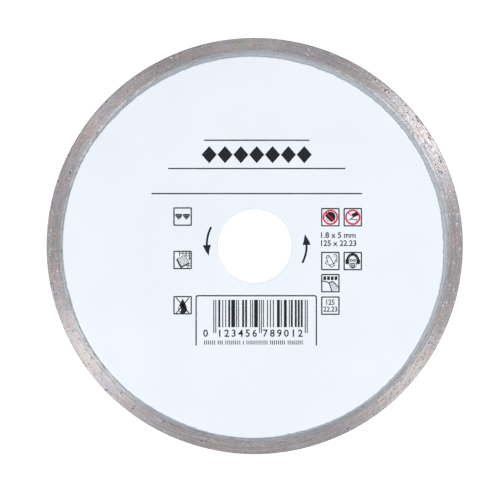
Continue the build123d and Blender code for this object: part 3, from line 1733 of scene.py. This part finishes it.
@dataclass(frozen=True)
class TurningArrows:
    """The two arrows that show which way the blade turns.

    Attributes:
        press: What prints them.
        middle: The point about which one is the other turned by half a turn.
        reach: How far from it their outermost points lie.
        lift: How far above it the left one's outermost point lies.
        radius: Radius of their curves.
        tail: Angle along the curve from the outermost point back to the tail's end.
        root: Angle from there on to the head's root.
        point: Angle from there on to its point.
        shaft: Width of the shaft.
        head: Width of the head.
    """

    press: Press
    middle: Place = (0.6, 0.3)
    reach: float = 14.96
    lift: float = 0.3
    radius: float = 10.8
    tail: float = 28.0
    root: float = 1.6
    point: float = 19.0
    shaft: float = 0.62
    head: float = 2.45

    def build(self) -> None:
        """Builds each arrow as one line that widens at its head and ends in a point."""
        shaft = np.linspace(-self.tail, self.root, 14)
        head = np.linspace(0, self.point - self.root, 8)
        angles = np.radians(np.concatenate([shaft, self.root + head + 0.02]))
        taper = self.head * (1 - head / head[-1]) + 0.02
        widths = np.concatenate([np.full(len(shaft), self.shaft), taper])
        curve = self.radius * np.stack([-np.cos(angles), -np.sin(angles)], -1)
        curve += (self.radius - self.reach, self.lift)
        for name, way in (("print_arrow_left", 1), ("print_arrow_right", -1)):
            line = self.press.stroke(self.middle + way * curve, widths)
            self.press.prints(name, [line])


@dataclass(frozen=True)
class BarCode:
    """A made-up bar code that counts from nought to nine, in an open frame.

    Attributes:
        press: What prints it.
        left: Left end of the bars.
        module: Width of the thinnest bar.
        top: Upper end of the bars.
        foot: Lower end of the ordinary bars.
        guard_foot: Lower end of the guard bars.
        digits: The digits that the bars spell.
        widths: Widths of a digit's two spaces and two bars, in modules, digit by digit.
        shrink: How much of its nominal width a bar is printed.
        digit_foot: Lower side of the numerals.
        digit_height: Their height.
        digit_pitch: Distance from one to the next.
        groups: Place across of the first numeral of each half.
        ticks: How many ticks each group of the lowest row has.
        tick_pitch: Distance from one tick to the next.
        tick_gap: What is added to it between two groups.
    """

    press: Press
    left: float = -12.44
    module: float = 0.2984
    top: float = -16.16
    foot: float = -24.38
    guard_foot: float = -26.15
    digits: str = "123456789012"
    widths: tuple[str, ...] = (
        "3211", "2221", "2122", "1411", "1132", "1231", "1114", "1312", "1213", "3112",
    )
    shrink: float = 0.97
    digit_foot: float = -27.28
    digit_height: float = 2.22
    digit_pitch: float = 2.1
    groups: Place = (-10.5, 3.2)
    ticks: tuple[int, ...] = (6, 3, 8, 1, 11, 8, 8)
    tick_pitch: float = 0.60
    tick_gap: float = 0.48

    def bars(self) -> list[Surface]:
        """The bars: guards at both ends and in the middle, and six digits each side.

        Bars and spaces take turns all along, and the guards' patterns reach lower down.

        Returns:
            One solid line for each bar.
        """
        coded = [self.widths[int(digit)] for digit in self.digits]
        patterns = ["111", *coded[:6], "11111", *coded[6:], "111"]
        feet = [self.foot if len(pattern) == 4 else self.guard_foot for pattern in patterns]
        feet = [foot for foot, pattern in zip(feet, patterns) for _ in pattern]
        widths = np.array([int(width) for width in "".join(patterns)])
        middles = self.left + self.module * (np.cumsum(widths) - widths / 2)
        return [
            self.press.stroke([(x, self.top), (x, foot)], self.module * width * self.shrink)
            for x, foot, width in zip(middles[::2], feet[::2], widths[::2])
        ]

    def build(self) -> None:
        """Builds the frame, the bars, the digits and the row of ticks under them."""
        corners = [(-17.6, -29.88), (-17.6, -15.3), (-17.25, -14.93)]
        corners += [(18.15, -14.93), (18.5, -15.3), (18.5, -29.88)]
        self.press.prints("print_code_frame", [self.press.stroke(corners)])
        self.press.prints("print_code_bars", self.bars())
        places = [("0", -14.75)]
        for start, group in zip(self.groups, (self.digits[:6], self.digits[6:])):
            places += [(digit, start + self.digit_pitch * i) for i, digit in enumerate(group)]
        digits = [
            self.press.lettering(digit, x, self.digit_foot, self.digit_height)
            for digit, x in places
        ]
        self.press.prints("print_code_digits", digits)
        ticks, x = [], -15.05
        for count in self.ticks:
            for _ in range(count):
                ticks.append(self.press.stroke([(x, -28.35), (x, -29.6)], 0.26))
                x += self.tick_pitch
            x += self.tick_gap
        self.press.prints("print_code_ticks", ticks)


@dataclass(frozen=True)
class FrontPrint:
    """Everything that is printed on the front.

    Attributes:
        press: What prints it.
        boxes: Each picture and the middle of its box.
    """

    press: Press
    boxes: tuple[tuple[Pictogram, Place], ...] = (
        (Pictogram.GEMS, (-21.65, 8.84)),
        (Pictogram.TILE, (-21.65, -4.19)),
        (Pictogram.DROP, (-21.65, -17.79)),
        (Pictogram.DISC, (22.71, 8.64)),
        (Pictogram.BLOCK, (29.43, 8.64)),
        (Pictogram.MITTEN, (22.71, -4.52)),
        (Pictogram.HEAD, (29.43, -4.52)),
        (Pictogram.LEAFLET, (22.71, -11.16)),
        (Pictogram.SIZE, (22.71, -17.91)),
    )

    def build(self) -> None:
        """Builds every mark."""
        HeadPanel(self.press).build()
        TurningArrows(self.press).build()
        for picture, centre in self.boxes:
            PrintedBox(self.press, picture, centre).build()
        lines = [
            self.press.lettering("1.8 x 5 mm", 25.1, 2.40, 1.75, 10.4),
            self.press.lettering("125 x 22.23", 25.2, -0.02, 1.75, 10.6),
        ]
        self.press.prints("print_sizes", lines)
        BarCode(self.press).build()


# The studio


@dataclass(frozen=True)
class Softbox:
    """A square lamp that looks at the blade.

    Attributes:
        name: Its name.
        around: Angle of its place as seen from the front, anticlockwise from the right.
        off_axis: Angle between its direction and the front's own, more than 90 at the back.
        distance: How far it stands from the blade, in metres.
        size: Its width, in metres.
        power: Its power in watts.
        colour: Its colour.
    """

    name: str
    around: float
    off_axis: float
    distance: float
    size: float
    power: float
    colour: Colour = (1.0, 1.0, 1.0)

    def build(self) -> None:
        """Puts the lamp up."""
        lamp = bpy.data.lights.new(self.name, "AREA")
        lamp.shape, lamp.size = "SQUARE", self.size
        lamp.energy, lamp.color = self.power, self.colour
        made = linked(self.name, lamp)
        around, off = math.radians(self.around), math.radians(self.off_axis)
        way = np.array(
            [math.sin(off) * math.cos(around), -math.cos(off), math.sin(off) * math.sin(around)]
        )
        made.location = (way * self.distance).tolist()
        made.rotation_mode = "QUATERNION"
        made.rotation_quaternion = made.location.to_track_quat("Z", "Y")


@dataclass(frozen=True)
class Studio:
    """The camera, the lamps and the floor.

    Attributes:
        blade: The shared sizes.
        view_width: Width of what the camera sees at the blade, in millimetres.
        aside: How far to the left of the bore it looks.
        lens: Focal length in millimetres.
        floor_radius: How far the floor reaches, in metres.
        floor_bend: Where it begins to curve up.
        lamps: The softboxes.
        sky: Colour of the light from all round.
        sky_strength: Its strength.
    """

    blade: Blade
    view_width: float = 150.12
    aside: float = 1.42
    lens: float = 100.0
    floor_radius: float = 3.2
    floor_bend: float = 1.5
    lamps: tuple[Softbox, ...] = (
        Softbox("softbox_upper_right", 33.0, 26.0, 0.9, 0.18, 1.08, (0.95, 0.975, 1.0)),
        Softbox("softbox_lower_left", 215.0, 26.0, 0.9, 0.20, 1.75, (1.0, 0.985, 0.97)),
        Softbox("softbox_lower_right", 320.0, 26.0, 0.9, 0.14, 1.2, (1.0, 0.985, 0.97)),
        Softbox("softbox_top", 90.0, 48.0, 0.9, 0.30, 0.75),
        Softbox("softbox_back_right", 33.0, 154.0, 0.9, 0.16, 1.4),
        Softbox("softbox_back_left", 147.0, 154.0, 0.9, 0.16, 1.2),
    )
    sky: Colour = (0.95, 0.975, 1.0)
    sky_strength: float = 0.49

    def camera(self) -> None:
        """Puts up the camera, which looks straight at the printed face."""
        data = bpy.data.cameras.new("camera")
        data.lens = self.lens
        distance = MM * (self.view_width * self.lens / data.sensor_width + self.blade.coat_top)
        made = linked("camera", data)
        made.location = (-MM * self.aside, -distance, 0.0)
        made.rotation_euler = (math.pi / 2, 0.0, 0.0)
        data.clip_start = 0.01
        bpy.context.scene.camera = made

    def floor(self) -> None:
        """Lays the floor, a wide sheet that curves up far from the blade.

        At angle t and distance d its height is that of the blade's lowest point, plus a
        half of the square of however far d goes beyond the bend.
        """
        distance = np.linspace(0.0, self.floor_radius, 24)[1:, None]
        angle = 2 * np.pi * np.arange(64) / 64
        bend = np.clip(distance - self.floor_bend, 0, None) ** 2 / 2
        height = bend - MM * self.blade.rim_radius - 2e-5
        points = np.stack(
            np.broadcast_arrays(distance * np.cos(angle), distance * np.sin(angle), height), -1
        )
        number = np.arange(points[..., 0].size).reshape(points.shape[:2])
        faces = skin_faces(number)
        corners = np.concatenate([faces.ravel(), number[0]])
        sizes = np.append(np.full(len(faces), 4), number.shape[1])
        made = Surface(points.reshape(-1, 3), corners, sizes).shown("studio_floor", StudioPaper())
        made.visible_shadow = False
        made.visible_diffuse = False

    def build(self) -> None:
        """Sets the studio up."""
        world = bpy.data.worlds.new("studio_sky")
        world.use_nodes = True
        background = world.node_tree.nodes["Background"]
        background.inputs["Color"].default_value = (*self.sky, 1.0)
        background.inputs["Strength"].default_value = self.sky_strength
        bpy.context.scene.world = world
        bpy.context.scene.view_settings.view_transform = "Standard"
        self.camera()
        self.floor()
        for lamp in self.lamps:
            lamp.build()


def main() -> None:
    """Builds the blade piece by piece, then the studio round it."""
    logging.basicConfig(level=logging.INFO, format="%(name)s: %(message)s")
    rng = np.random.default_rng(SEED)
    blade = Blade.measured()
    core = SteelCore(blade)
    core.build()
    BaseRing(blade, core).build(rng)
    DiamondRim(blade).build(rng)
    ExposedDiamonds(blade).build(rng)
    for side in Side:
        EnamelCoat(blade, side).build(rng)
    FrontPrint(Press(blade.coat_top - 0.01, blade.coat_top + 0.02)).build()
    Studio(blade).build()


if __name__ == "__main__":
    main()
